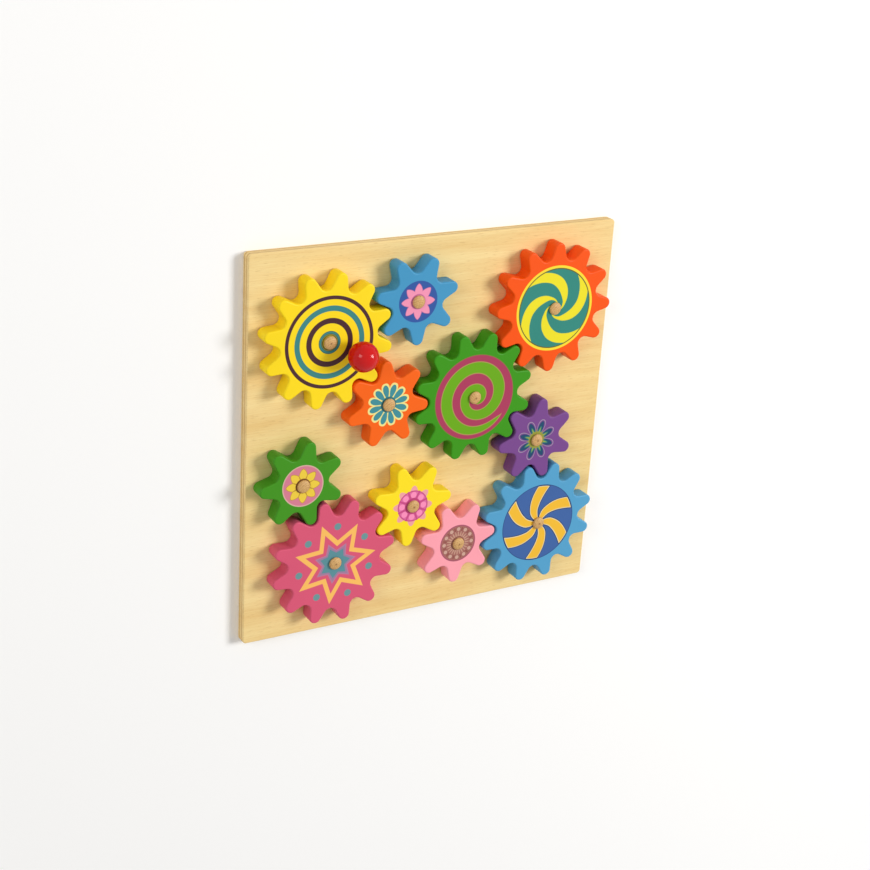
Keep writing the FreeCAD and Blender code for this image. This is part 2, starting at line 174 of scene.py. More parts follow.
def grown(piece: bpy.types.Object, tree: bpy.types.NodeTree, sizes: dict[str, Any]) -> bpy.types.Object:
    """Runs a geometry node tree on a piece and keeps the result as its plain mesh.

    Args:
        piece: the object that gets the shape.
        tree: the geometry node tree.
        sizes: a value for each of the tree's named inputs.

    Returns:
        The same piece, with no modifier.
    """
    modifier = piece.modifiers.new(tree.name, "NODES")
    modifier.node_group = tree
    for socket in tree.interface.items_tree:
        if socket.in_out == "INPUT" and socket.name in sizes:
            modifier[socket.identifier] = sizes[socket.name]
    depsgraph = bpy.context.evaluated_depsgraph_get()
    mesh = bpy.data.meshes.new_from_object(piece.evaluated_get(depsgraph))
    mesh.name = piece.name
    piece.modifiers.remove(modifier)
    piece.data = mesh
    return piece


def turned(name: str, profile: list[Pair], steps: int) -> bpy.types.Mesh:
    """Turns a profile about Z, as on a lathe.

    Args:
        name: the mesh's name.
        profile: (radius, height) points from the lower end on the axis to the upper end on it.
        steps: how many columns of faces go round.

    Returns:
        A closed, smooth mesh.
    """
    shape = bmesh.new()
    ends = [shape.verts.new((0, 0, z * MM)) for _, z in (profile[0], profile[-1])]
    rings = []
    for radius, z in profile[1:-1]:
        angles = [math.tau * i / steps for i in range(steps)]
        points = [(radius * math.cos(a) * MM, radius * math.sin(a) * MM, z * MM) for a in angles]
        rings.append([shape.verts.new(p) for p in points])
    for i in range(steps):
        j = (i + 1) % steps
        shape.faces.new((ends[0], rings[0][j], rings[0][i]))
        for low, high in zip(rings, rings[1:]):
            shape.faces.new((low[i], low[j], high[j], high[i]))
        shape.faces.new((ends[1], rings[-1][i], rings[-1][j]))
    mesh = bpy.data.meshes.new(name)
    shape.to_mesh(mesh)
    shape.free()
    mesh.shade_smooth()
    return mesh


# ---------------------------------------------------------------- prints


@dataclass(frozen=True)
class Face:
    """A gear's printed face inside one material: polar millimetres about the gear's axle."""

    tree: bpy.types.NodeTree
    radius: bpy.types.Node
    angle: bpy.types.Node

    @classmethod
    def about(cls, tree: bpy.types.NodeTree, centre: Vector) -> "Face":
        """Lays polar coordinates on a material.

        Args:
            tree: the material's node tree.
            centre: the point of the toy they are counted from, in metres.

        Returns:
            The face.
        """
        place = put(tree, "ShaderNodeTexCoord").outputs["Object"]
        local = put(tree, "ShaderNodeMapping", place, centre, None, (MM, MM, MM), vector_type="TEXTURE")
        flat = put(tree, VECTOR_MATH, local, (1, 1, 0), operation="MULTIPLY")
        radius = put(tree, VECTOR_MATH, flat, operation="LENGTH")
        axes = put(tree, "ShaderNodeSeparateXYZ", flat)
        angle = put(tree, MATH, axes.outputs["Y"], axes.outputs["X"], operation="ARCTAN2")
        return cls(tree, radius, angle)

    def sector_angle(self, count: int, heading: Any) -> bpy.types.Node:
        """Folds the angle into equal sectors about a heading.

        Args:
            count: how many sectors go round.
            heading: the middle of one sector in radians, or a node that gives it.

        Returns:
            The angle from the middle of the nearest sector.
        """
        half = math.pi / count
        turned_back = put(self.tree, MATH, self.angle, heading, operation="SUBTRACT")
        return put(self.tree, MATH, turned_back, half, -half, operation="WRAP")

    def sector_place(self, count: int, heading: float) -> bpy.types.Node:
        """Folds the face into the nearest sector.

        Args:
            count: how many sectors go round.
            heading: the middle of one sector, in degrees.

        Returns:
            The place along the sector's axis as X and across it, never negative, as Y.
        """
        folded = self.sector_angle(count, math.radians(heading))
        folded = put(self.tree, MATH, folded, operation="ABSOLUTE")
        cosine = put(self.tree, MATH, folded, operation="COSINE")
        sine = put(self.tree, MATH, folded, operation="SINE")
        unit = put(self.tree, "ShaderNodeCombineXYZ", cosine, sine)
        return put(self.tree, VECTOR_MATH, unit, named={"Scale": self.radius}, operation="SCALE")


@dataclass(frozen=True)
class Graph:
    """A smooth curve through a few points, read by a node as y for a given x."""

    points: tuple[Pair, ...]

    def read(self, tree: bpy.types.NodeTree, x: bpy.types.Node) -> bpy.types.Node:
        """Adds the curve to a tree.

        Args:
            tree: the material's node tree.
            x: the node whose value is looked up.

        Returns:
            The node that gives y.
        """
        (first_x, _), (last_x, _) = self.points[0], self.points[-1]
        low = min(y for _, y in self.points)
        high = max(y for _, y in self.points)
        share = put(tree, MAP_RANGE, x, first_x, last_x)
        curve = put(tree, "ShaderNodeFloatCurve", 1.0, share)
        line = curve.mapping.curves[0]
        width, rise = last_x - first_x, high - low
        places = [((px - first_x) / width, (py - low) / rise) for px, py in self.points]
        line.points[0].location = places[0]
        line.points[1].location = places[-1]
        for place in places[1:-1]:
            line.points.new(*place)
        curve.mapping.update()
        return put(tree, MATH, curve, rise, low, operation="MULTIPLY_ADD")


@dataclass(frozen=True)
class Motif:
    """One ink of a gear's print, with a thin line of another ink round it where it has one."""

    ink: str
    line: str = field(default="", kw_only=True)
    line_width: float = field(default=0.45, kw_only=True)

    def depth(self, face: Face) -> bpy.types.Node:
        """Measures how deep inside the motif's outline a point lies.

        Args:
            face: the printed face.

        Returns:
            The distance from the outline in millimetres, above 0 inside it.
        """
        raise NotImplementedError


@dataclass(frozen=True)
class Ring(Motif):
    """A band between two radii, or a disc where the inner one is 0."""

    inner: float
    outer: float

    def depth(self, face: Face) -> bpy.types.Node:
        """Measures from the band's nearer edge.

        Args:
            face: the printed face.

        Returns:
            The distance, above 0 inside the band.
        """
        middle = (self.inner + self.outer) / 2
        offset = put(face.tree, MATH, face.radius, middle, operation="SUBTRACT")
        offset = put(face.tree, MATH, offset, operation="ABSOLUTE")
        return put(face.tree, MATH, self.outer - middle, offset, operation="SUBTRACT")


@dataclass(frozen=True)
class Petals(Motif):
    """Equal petals round the axle, whose ends are nearly square at a power of 0.1 and pointed at 1."""

    count: int
    heading: float
    start: float
    end: float
    width: float
    base_power: float = 0.5
    tip_power: float = 0.5

    def depth(self, face: Face) -> bpy.types.Node:
        """Measures across a petal from its side.

        Args:
            face: the printed face.

        Returns:
            How far the side lies beyond a point, above 0 inside the petal.
        """
        tree = face.tree
        axes = put(tree, "ShaderNodeSeparateXYZ", face.sector_place(self.count, self.heading))
        share = put(tree, MAP_RANGE, axes.outputs["X"], self.start, self.end)
        rest = put(tree, MATH, 1.0, share, operation="SUBTRACT")
        rise = put(tree, MATH, share, self.base_power, operation="POWER")
        fall = put(tree, MATH, rest, self.tip_power, operation="POWER")
        both = put(tree, MATH, rise, fall, operation="MULTIPLY")
        # The petal is widest where its two powers balance.
        widest = self.base_power / (self.base_power + self.tip_power)
        peak = widest**self.base_power * (1 - widest) ** self.tip_power
        side = put(tree, MATH, both, self.width / 2 / peak, operation="MULTIPLY")
        inside = put(tree, MATH, side, axes.outputs["Y"], operation="SUBTRACT")
        beyond_start = put(tree, MATH, axes.outputs["X"], self.start, operation="SUBTRACT")
        before_end = put(tree, MATH, self.end, axes.outputs["X"], operation="SUBTRACT")
        nearer_end = put(tree, MATH, beyond_start, before_end, operation="MINIMUM")
        return put(tree, MATH, inside, nearer_end, operation="MINIMUM")


@dataclass(frozen=True)
class Dots(Motif):
    """Equal round dots on a circle about the axle."""

    count: int
    heading: float
    distance: float
    radius: float

    def depth(self, face: Face) -> bpy.types.Node:
        """Measures from the nearest dot's edge.

        Args:
            face: the printed face.

        Returns:
            The distance, above 0 inside the dot.
        """
        place = face.sector_place(self.count, self.heading)
        gap = put(face.tree, VECTOR_MATH, place, (self.distance, 0, 0), operation="DISTANCE")
        return put(face.tree, MATH, self.radius, gap, operation="SUBTRACT")


@dataclass(frozen=True)
class Star(Motif):
    """A star of straight edges, drawn in by an inset where it lies inside another."""

    count: int
    heading: float
    tip: float
    valley: float
    inset: float = 0.0

    def depth(self, face: Face) -> bpy.types.Node:
        """Measures from the line of the nearest edge.

        Args:
            face: the printed face.

        Returns:
            The distance, above 0 inside the star.
        """
        half = math.pi / self.count
        tip = Vector((self.tip, 0, 0))
        valley = Vector((self.valley * math.cos(half), self.valley * math.sin(half), 0))
        outward = Vector((valley.y, tip.x - valley.x, 0)).normalized()
        place = face.sector_place(self.count, self.heading)
        reach = put(face.tree, VECTOR_MATH, place, outward, operation="DOT_PRODUCT")
        return put(face.tree, MATH, outward.dot(tip) - self.inset, reach, operation="SUBTRACT")


@dataclass(frozen=True)
class Blades(Motif):
    """Curved blades of a pinwheel: the heading of their middle line and their width, by radius."""

    count: int
    heading: Graph
    width: Graph

    def depth(self, face: Face) -> bpy.types.Node:
        """Measures round the axle from a blade's side.

        Args:
            face: the printed face.

        Returns:
            The distance, above 0 inside the blade.
        """
        tree = face.tree
        heading = put(tree, MATH, self.heading.read(tree, face.radius), operation="RADIANS")
        off_middle = put(tree, MATH, face.sector_angle(self.count, heading), operation="ABSOLUTE")
        arc = put(tree, MATH, off_middle, face.radius, operation="MULTIPLY")
        half = put(tree, MATH, self.width.read(tree, face.radius), 0.5, operation="MULTIPLY")
        side = put(tree, MATH, half, arc, operation="SUBTRACT")
        before_end = put(tree, MATH, self.width.points[-1][0], face.radius, operation="SUBTRACT")
        return put(tree, MATH, side, before_end, operation="MINIMUM")


@dataclass(frozen=True)
class SpiralArm(Motif):
    """One arm that winds outwards from a heading: its edges' radii by the angle wound."""

    heading: float
    inner: Graph
    outer: Graph
    turns: int

    def depth(self, face: Face) -> bpy.types.Node:
        """Measures from the arm's nearer edge, on whichever of its turns holds the point.

        Args:
            face: the printed face.

        Returns:
            The distance, above 0 inside the arm.
        """
        tree = face.tree
        angle = put(tree, MATH, face.angle, math.radians(self.heading), operation="SUBTRACT")
        angle = put(tree, MATH, angle, math.tau, 0.0, operation="WRAP")
        angle = put(tree, MATH, angle, operation="DEGREES")
        deepest = None
        for turn in range(self.turns):
            wound = put(tree, MATH, angle, 360.0 * turn, operation="ADD")
            past_inner = put(tree, MATH, face.radius, self.inner.read(tree, wound), operation="SUBTRACT")
            to_outer = put(tree, MATH, self.outer.read(tree, wound), face.radius, operation="SUBTRACT")
            depth = put(tree, MATH, past_inner, to_outer, operation="MINIMUM")
            deepest = depth if deepest is None else put(tree, MATH, deepest, depth, operation="MAXIMUM")
        return deepest


# ---------------------------------------------------------------- finishes


def grain_noise(tree: bpy.types.NodeTree, place: Any, sizes: Triple, detail: float) -> bpy.types.Node:
    """Lays noise stretched along the grain.

    Args:
        tree: the material's node tree.
        place: the coordinates it is laid on.
        sizes: how long a spot of it is along X, Y and Z, in millimetres.
        detail: how many finer layers it has.

    Returns:
        The noise.
    """
    scale = tuple(1 / (size * MM) for size in sizes)
    stretched = put(tree, "ShaderNodeMapping", place, None, None, scale)
    return put(tree, NOISE, stretched, 1.0, detail)


@dataclass(frozen=True)
class Gloss:
    """How a finish throws light back: how rough and reflective it is, and how deep its relief."""

    roughness: float
    specular: float = 0.3
    relief: float = 0.06
    bump: float = 0.3
    ior: float = 1.5

    def shade(self, tree: bpy.types.NodeTree, colour: Any, height: bpy.types.Node) -> None:
        """Ends a material with its relief and its shader.

        Args:
            tree: the material's node tree.
            colour: the colour, or the node that gives it.
            height: the node that gives the relief, from 0 to 1.
        """
        normal = put(tree, "ShaderNodeBump", self.bump, self.relief * MM, None, height)
        settings = {
            "Roughness": self.roughness,
            "IOR": self.ior,
            "Specular IOR Level": self.specular,
            "Normal": normal,
        }
        shader = put(tree, "ShaderNodeBsdfPrincipled", colour, named=settings)
        put(tree, "ShaderNodeOutputMaterial", shader)


@dataclass(frozen=True)
class SatinEnamel:
    """Water-based satin enamel, sprayed on sanded wood and printed on top with flat inks."""

    name: str
    colour: str
    motifs: tuple[Motif, ...] = ()
    gloss: Gloss = Gloss(0.43, specular=0.2, relief=0.05, bump=0.25)
    ink_edge: float = 0.16
    cloud_size: float = 30.0
    cloud_span: Pair = (0.3, 0.7)
    cloud_shade: float = 0.965
    orange_peel: float = 0.9
    grain: Triple = (22.0, 0.7, 0.7)
    peel_share: float = 0.45

    def material(self, centre: Vector, printed_above: float) -> bpy.types.Material:
        """Mixes the paint for one gear.

        Args:
            centre: the gear's axle in metres.
            printed_above: the height in metres above which a surface takes the print.

        Returns:
            The material.
        """
        # Satin enamel gives an even, saturated colour with a soft sheen, a little grain showing
        # through as relief, and prints with crisp edges on the upper face alone.
        material, tree = blank_material(self.name)
        face = Face.about(tree, centre)
        place = put(tree, "ShaderNodeTexCoord").outputs["Object"]
        height = put(tree, "ShaderNodeSeparateXYZ", place).outputs["Z"]
        on_face = put(tree, MATH, height, printed_above, operation="GREATER_THAN")
        colour = linear(self.colour)
        for motif in self.motifs:
            depth = motif.depth(face)
            if motif.line:
                colour = self.inked(tree, colour, motif.line, depth, motif.line_width, on_face)
            colour = self.inked(tree, colour, motif.ink, depth, 0.0, on_face)
        cloud = put(tree, NOISE, place, 1 / (self.cloud_size * MM), named={"Detail": 2.0})
        shade = put(tree, MAP_RANGE, cloud, *self.cloud_span, self.cloud_shade, 1.0)
        tone = put(tree, MIX, 1.0, colour, shade, data_type="RGBA", blend_type="MULTIPLY")
        grain = grain_noise(tree, place, self.grain, detail=3.0)
        peel = put(tree, NOISE, place, 1 / (self.orange_peel * MM), named={"Detail": 1.0})
        relief = put(tree, MIX, self.peel_share, grain, peel, data_type="FLOAT")
        self.gloss.shade(tree, tone, relief)
        return material

    def inked(
        self, tree: bpy.types.NodeTree, under: Any, ink: str, depth: Any, spread: float, on_face: Any
    ) -> bpy.types.Node:
        """Prints one ink over the colours under it.

        Args:
            tree: the material's node tree.
            under: the colour so far.
            ink: the ink's colour.
            depth: how deep inside the motif's outline a point lies, in millimetres.
            spread: how far the ink reaches beyond that outline, in millimetres.
            on_face: 1 where a surface takes the print.

        Returns:
            The new colour.
        """
        edge = (-self.ink_edge - spread, self.ink_edge - spread)
        soft = put(tree, MAP_RANGE, depth, *edge, interpolation_type="SMOOTHSTEP")
        cover = put(tree, MATH, soft, on_face, operation="MULTIPLY")
        return put(tree, MIX, cover, under, linear(ink), data_type="RGBA")


@dataclass(frozen=True)
class GlossLacquer:
    """Nitro lacquer dipped over a turned ball: a wet-looking gloss with sharp highlights."""

    name: str = "red_gloss_lacquer"
    colour: str = "#CE0203"
    gloss: Gloss = Gloss(0.06, specular=0.24, relief=0.12, bump=0.25)
    ripple: float = 6.0

    def material(self) -> bpy.types.Material:
        """Mixes the lacquer.

        Returns:
            The material.
        """
        # Gloss lacquer gives a deep even red, mirror-sharp highlights and a faint dipped ripple.
        material, tree = blank_material(self.name)
        place = put(tree, "ShaderNodeTexCoord").outputs["Object"]
        wave = put(tree, NOISE, place, 1 / (self.ripple * MM), named={"Detail": 1.0})
        self.gloss.shade(tree, linear(self.colour), wave)
        return material


@dataclass(frozen=True, kw_only=True)
class Wood:
    """A wood's colours, from pale to dark with darker flecks, under a matt clear coat."""

    name: str
    pale: str
    dark: str
    fleck: str
    tint_span: Pair = (0.35, 0.7)
    fleck_span: Pair = (0.62, 0.74)
    fleck_cover: float = 0.45
    gloss: Gloss = Gloss(0.55)

    def tinted(self, tree: bpy.types.NodeTree, tint: Any, flecks: Any) -> bpy.types.Node:
        """Mixes the colours by two noises.

        Args:
            tree: the material's node tree.
            tint: the noise that goes from pale to dark.
            flecks: the noise whose peaks are the flecks.

        Returns:
            The node that gives the colour.
        """
        tint = put(tree, MAP_RANGE, tint, *self.tint_span)
        colour = put(tree, MIX, tint, linear(self.pale), linear(self.dark), data_type="RGBA")
        flecks = put(tree, MAP_RANGE, flecks, *self.fleck_span, 0.0, self.fleck_cover)
        return put(tree, MIX, flecks, colour, linear(self.fleck), data_type="RGBA")


@dataclass(frozen=True, kw_only=True)
class BareWood(Wood):
    """Sanded wood: streaks along the grain, fine fibres, short flecks and, on plywood, layers."""

    streak: Triple
    fibre: Triple
    pore: Triple
    fibre_share: float = 0.35
    pore_relief: float = 0.5
    ply: float = 0.0
    ply_blur: float = 0.04
    ply_cover: float = 0.6
    edge_tilt: float = 0.5

    def material(self) -> bpy.types.Material:
        """Mixes the wood.

        Returns:
            The material.
        """
        # Bare sanded wood gives a warm matt surface, darker streaks and pores that run with the
        # grain, and on plywood an edge of alternating pale and dark layers.
        material, tree = blank_material(self.name)
        place = put(tree, "ShaderNodeTexCoord").outputs["Object"]
        streak = grain_noise(tree, place, self.streak, detail=3.0)
        fibre = grain_noise(tree, place, self.fibre, detail=2.0)
        pore = grain_noise(tree, place, self.pore, detail=1.0)
        tint = put(tree, MIX, self.fibre_share, streak, fibre, data_type="FLOAT")
        colour = self.tinted(tree, tint, pore)
        if self.ply:
            colour = self.layered(tree, place, colour)
        relief = put(tree, MIX, self.pore_relief, fibre, pore, data_type="FLOAT")
        self.gloss.shade(tree, colour, relief)
        return material

    def layered(self, tree: bpy.types.NodeTree, place: Any, face: bpy.types.Node) -> bpy.types.Node:
        """Darkens every second layer along the edge of a plywood panel.

        Args:
            tree: the material's node tree.
            place: the coordinates whose height counts the layers.
            face: the colour of the panel's face.

        Returns:
            The colour with the layers on the edge.
        """
        normal = put(tree, "ShaderNodeNewGeometry").outputs["Normal"]
        facing = put(tree, "ShaderNodeSeparateXYZ", normal)
        upright = put(tree, MATH, facing.outputs["Z"], operation="ABSOLUTE")
        on_edge = put(tree, MATH, upright, self.edge_tilt, operation="LESS_THAN")
        height = put(tree, "ShaderNodeSeparateXYZ", place).outputs["Z"]
        layer = put(tree, MATH, height, self.ply * MM, operation="DIVIDE")
        layer = put(tree, MATH, layer, 2.0, operation="FLOORED_MODULO")
        dark = put(tree, MAP_RANGE, layer, 1 - self.ply_blur, 1 + self.ply_blur)
        shown = put(tree, MATH, dark, on_edge, operation="MULTIPLY")
        shown = put(tree, MATH, shown, self.ply_cover, operation="MULTIPLY")
        return put(tree, MIX, shown, face, linear(self.fleck), data_type="RGBA")


@dataclass(frozen=True, kw_only=True)
class TurnedEndGrain(Wood):
    """Beech turned with its grain along the axle, so that each head shows end grain."""

    name: str = "turned_beech_end_grain"
    pale: str = "#D8AD70"
    dark: str = "#C09257"
    fleck: str = "#7E4F28"
    fleck_span: Pair = (0.6, 0.72)
    fleck_cover: float = 0.4
    gloss: Gloss = Gloss(0.5, relief=0.03, bump=0.2)
    pore: Triple = (0.85, 0.85, 7.0)
    pore_share: float = 0.82
    ring_spacing: float = 1.5
    ring_wobble: float = 3.0
    pith_distance: float = 5.0
    centre_mark: float = 1.2
    marked_above: float = 0.3
    place_attribute: str = "lathe_place"
    chance_attribute: str = "peg_chance"

    def material(self) -> bpy.types.Material:
        """Mixes the wood from each peg's own place and chance attributes.

        Returns:
            The material.
        """
        # Turned end grain gives curved growth rings, dark pores, streaks down the side and, on
        # some heads, the small dark mark that the lathe's centre leaves. Beech pores are finer
        # than a tenth of a millimetre and are drawn as coarse clusters, so that they show.
        material, tree = blank_material(self.name)
        place = put(tree, "ShaderNodeAttribute", attribute_name=self.place_attribute).outputs["Vector"]
        chance = put(tree, "ShaderNodeAttribute", attribute_name=self.chance_attribute).outputs["Fac"]
        turn = put(tree, MATH, chance, math.tau, operation="MULTIPLY")
        centre = (self.pith_distance * MM, 0, 0)
        pith = put(tree, ROTATE, centre, None, turn, rotation_type="Z_AXIS")
        from_pith = put(tree, VECTOR_MATH, place, pith, operation="ADD")
        # The ring texture repeats every 0.1 pi units.
        scale = 0.1 * math.pi / (self.ring_spacing * MM)
        waver = {"Distortion": self.ring_wobble, "Detail": 2.0, "Detail Scale": 1.5}
        ringed = {"wave_type": "RINGS", "rings_direction": "Z"}
        rings = put(tree, "ShaderNodeTexWave", from_pith, scale, named=waver, **ringed)
        pores = grain_noise(tree, from_pith, self.pore, detail=2.0)
        tint = put(tree, MIX, self.pore_share, rings.outputs["Fac"], pores, data_type="FLOAT")
        colour = self.tinted(tree, tint, pores)
        flat = put(tree, VECTOR_MATH, place, (1, 1, 0), operation="MULTIPLY")
        off_axle = put(tree, VECTOR_MATH, flat, operation="LENGTH")
        mark = put(tree, MAP_RANGE, off_axle, self.centre_mark * MM, 0.0, 0.0, 1.0)
        marked = put(tree, MATH, chance, self.marked_above, operation="GREATER_THAN")
        mark = put(tree, MATH, mark, marked, operation="MULTIPLY")
        colour = put(tree, MIX, mark, colour, linear(self.fleck), data_type="RGBA")
        self.gloss.shade(tree, colour, pores)
        return material


# ---------------------------------------------------------------- gears


class Paint(Enum):
    """The record's paint slot names, one kept with each gear."""

    YELLOW = "yellow_paint"
    DEEP_BLUE = "deep_blue_paint"
    ORANGE = "orange_paint"
    GREEN = "green_paint"
    PURPLE = "purple_paint"
    SKY_BLUE = "sky_blue_paint"
    PINK = "pink_paint"
    MAGENTA = "magenta_paint"


class Teeth(Enum):
    """The two gear sizes, by their number of teeth."""

    LARGE = 12
    SMALL = 7


@dataclass(frozen=True)
class ToothShape:
    """How every tooth is drawn: a round tip, a straight flank and a round hollow, all tangent."""

    height: float = 12.4
    tip_round: float = 4.5
    hollow_round: float = 5.0
    rim_round: float = 1.1
    bore: float = 2.98
    bore_margin: float = 0.4
    rim_margin: float = 0.25
    weld: float = 0.001
    tip_steps: int = 7
    hollow_steps: int = 6
    bore_rows: int = 2
    face_rows: int = 3
    rim_steps: int = 5

    @property
    def half_columns(self) -> int:
        """Counts the columns from the middle of a tip to the middle of a hollow."""
        return self.tip_steps + 1 + self.hollow_steps

    @property
    def half_rows(self) -> int:
        """Counts the rows from the bore's edge, over the face and its rim, to the wall."""
        return self.face_rows + self.rim_steps + 1

    def tree(self) -> bpy.types.NodeTree:
        """Builds the node tree that bends a grid into a toothed disc with rounded rims.

        A column of the grid is one point of the outline. Each half tooth has a tip arc, a flank
        and half a hollow, so a point needs only its arc's centre, its reach and its normal's
        angle. A row is one step round the section, from the bore under the disc, over the two
        rims and back to the bore.

        Returns:
            The tree, with its sizes as named inputs in metres and radians.
        """
        rounds = ("Tip Round", "Hollow Round", "Rim Round")
        numbers = ("Tip Radius", "Tooth Height", *rounds, "Bore Radius", "Thickness", "Heading")
        kinds = {"Teeth": "Int", **dict.fromkeys(numbers, "Float"), "Centre": "Vector"}
        tree, given = node_tree("toothed_disc", {**kinds, "Paint": "Material"})

        rows = 2 * self.half_rows
        columns = put(tree, MATH, given["Teeth"], 2 * self.half_columns, 1, operation="MULTIPLY_ADD")
        grid = put(tree, "GeometryNodeMeshGrid", 1.0, 1.0, columns, rows + 1)
        index = put(tree, "GeometryNodeInputIndex")
        column = put(tree, MATH, index, rows + 1, operation="DIVIDE")
        column = put(tree, MATH, column, operation="FLOOR")
        row = put(tree, MATH, index, rows + 1, operation="MODULO")
        row = put(tree, MATH, row, rows, operation="MODULO")
        step, inset, lift = self._section(tree, given, row)
        place = self._outline(tree, given, column, inset)

        at_bore = put(tree, MATH, step, self.bore_rows - HALF_STEP, operation="LESS_THAN")
        margin = self.bore_margin * MM
        past_edge = put(tree, MATH, step, margin, given["Bore Radius"], operation="MULTIPLY_ADD")
        outward = put(tree, VECTOR_MATH, place, operation="NORMALIZE")
        on_bore = put(tree, VECTOR_MATH, outward, named={"Scale": past_edge}, operation="SCALE")
        place = put(tree, MIX, at_bore, place, on_bore, data_type="VECTOR")

        lifted = put(tree, VECTOR_MATH, place, lift, operation="ADD")
        placed = put(tree, VECTOR_MATH, lifted, given["Centre"], operation="ADD")
        shaped = put(tree, "GeometryNodeSetPosition", grid.outputs["Mesh"], None, placed)
        closed = put(tree, "GeometryNodeMergeByDistance", shaped, None, self.weld * MM)
        smooth = put(tree, "GeometryNodeSetShadeSmooth", closed)
        real = put(tree, "GeometryNodeRealizeInstances", smooth)
        painted = put(tree, "GeometryNodeSetMaterial", real, None, given["Paint"])
        put(tree, "NodeGroupOutput", painted)
        return tree

    def _section(self, tree: bpy.types.NodeTree, given: Any, row: Any) -> tuple[bpy.types.Node, ...]:
        """Finds where a row lies on the disc's section.

        Args:
            tree: the tree being built.
            given: the tree's named inputs.
            row: which row it is, from the bore's lower edge round to its upper one.

        Returns:
            The nodes that give the row's count from the bore's nearer edge, its inset from the
            outline in metres, and its height above the underside as a vector.
        """
        from_top = put(tree, MATH, 2 * self.half_rows - 1, row, operation="SUBTRACT")
        step = put(tree, MATH, row, from_top, operation="MINIMUM")
        on_rim = put(tree, MATH, step, self.face_rows, operation="SUBTRACT")
        on_rim = put(tree, MATH, on_rim, 0, operation="MAXIMUM")
        # The rim's angle is 0 on the face and a quarter turn on the wall.
        angle = put(tree, MATH, on_rim, math.pi / 2 / self.rim_steps, operation="MULTIPLY")

        sine = put(tree, MATH, angle, operation="SINE")
        share = put(tree, MATH, 1, sine, operation="SUBTRACT")
        on_face = put(tree, MATH, step, self.face_rows - HALF_STEP, operation="LESS_THAN")
        margin = put(tree, MATH, on_face, self.rim_margin * MM, operation="MULTIPLY")
        inset = put(tree, MATH, share, given["Rim Round"], margin, operation="MULTIPLY_ADD")

        cosine = put(tree, MATH, angle, operation="COSINE")
        share = put(tree, MATH, 1, cosine, operation="SUBTRACT")
        from_face = put(tree, MATH, share, given["Rim Round"], operation="MULTIPLY")
        between = put(tree, MATH, from_face, -2, given["Thickness"], operation="MULTIPLY_ADD")
        upper = put(tree, MATH, row, self.half_rows - HALF_STEP, operation="GREATER_THAN")
        height = put(tree, MATH, upper, between, from_face, operation="MULTIPLY_ADD")
        return step, inset, put(tree, "ShaderNodeCombineXYZ", 0.0, 0.0, height)

    def _outline(self, tree: bpy.types.NodeTree, given: Any, column: Any, inset: Any) -> bpy.types.Node:
        """Finds a column's point of the outline, drawn in by an inset.

        Args:
            tree: the tree being built.
            given: the tree's named inputs.
            column: which point of the outline it is, from a tip counter-clockwise.
            inset: how far inside the outline the point lies, in metres.

        Returns:
            The node that gives the point about the gear's axle.
        """
        half_columns = self.half_columns
        in_tooth = put(tree, MATH, column, 2 * half_columns, operation="MODULO")
        tooth = put(tree, MATH, column, 2 * half_columns, operation="DIVIDE")
        tooth = put(tree, MATH, tooth, operation="FLOOR")
        from_valley = put(tree, MATH, in_tooth, half_columns, operation="SUBTRACT")
        from_valley = put(tree, MATH, from_valley, operation="ABSOLUTE")
        step = put(tree, MATH, half_columns, from_valley, operation="SUBTRACT")
        leaving_tip = put(tree, MATH, in_tooth, half_columns + HALF_STEP, operation="LESS_THAN")

        half_pitch = put(tree, MATH, math.pi, given["Teeth"], operation="DIVIDE")
        tip_reach = put(tree, MATH, given["Tip Radius"], given["Tip Round"], operation="SUBTRACT")
        tip_centre = put(tree, "ShaderNodeCombineXYZ", tip_reach)
        valley = put(tree, MATH, given["Tip Radius"], given["Tooth Height"], operation="SUBTRACT")
        hollow_reach = put(tree, MATH, valley, given["Hollow Round"], operation="ADD")
        on_tip_line = put(tree, "ShaderNodeCombineXYZ", hollow_reach)
        hollow_centre = put(tree, ROTATE, on_tip_line, None, half_pitch, rotation_type="Z_AXIS")
        between = put(tree, VECTOR_MATH, hollow_centre, tip_centre, operation="SUBTRACT")
        apart = put(tree, VECTOR_MATH, between, operation="LENGTH")
        axes = put(tree, "ShaderNodeSeparateXYZ", between)
        bearing = put(tree, MATH, axes.outputs["Y"], axes.outputs["X"], operation="ARCTAN2")
        rounds = put(tree, MATH, given["Tip Round"], given["Hollow Round"], operation="ADD")
        lean = put(tree, MATH, rounds, apart.outputs["Value"], operation="DIVIDE")
        lean = put(tree, MATH, lean, operation="ARCCOSINE")
        flank = put(tree, MATH, bearing, lean, operation="SUBTRACT")

